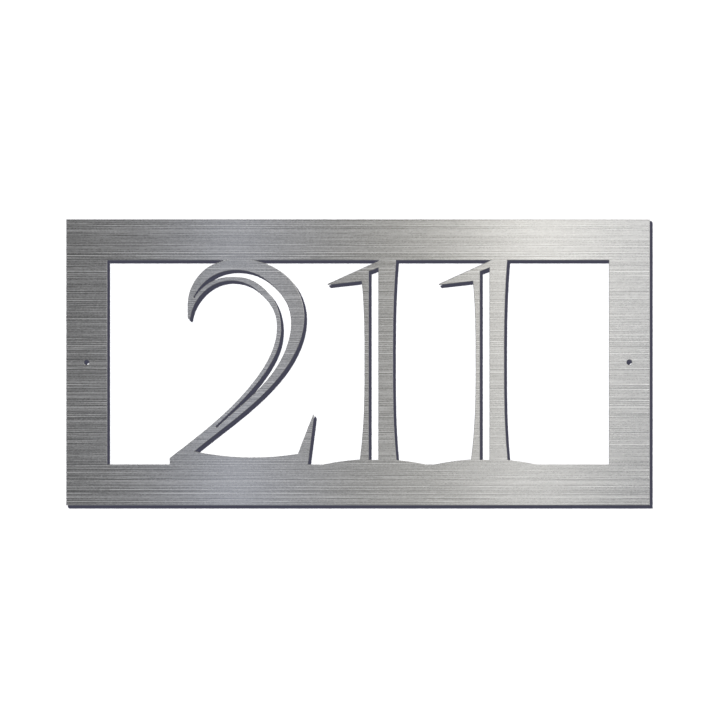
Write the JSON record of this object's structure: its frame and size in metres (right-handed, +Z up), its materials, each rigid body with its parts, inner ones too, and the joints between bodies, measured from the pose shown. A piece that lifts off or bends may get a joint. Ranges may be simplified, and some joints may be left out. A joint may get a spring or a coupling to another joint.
{
  "type": "house number plaque",
  "caption": "Flat rectangular house number plaque cut from a sheet of brushed steel: inline numerals bridge its open window, and each side bar has a plain screw hole.",
  "frame": {"origin": "in the back face, midway between the two screw holes", "axes": "+X along the plaque to the viewer's right, +Z up, -Y out of the front face, away from the wall"},
  "size_m": [0.356, 0.003, 0.1746],
  "materials": {
    "plaque_steel": "brushed along the plaque's length, with dark laser-cut edges"
  },
  "bodies": {
    "root": {"number_plaque": "plaque_steel"}
  },
  "joints": []
}
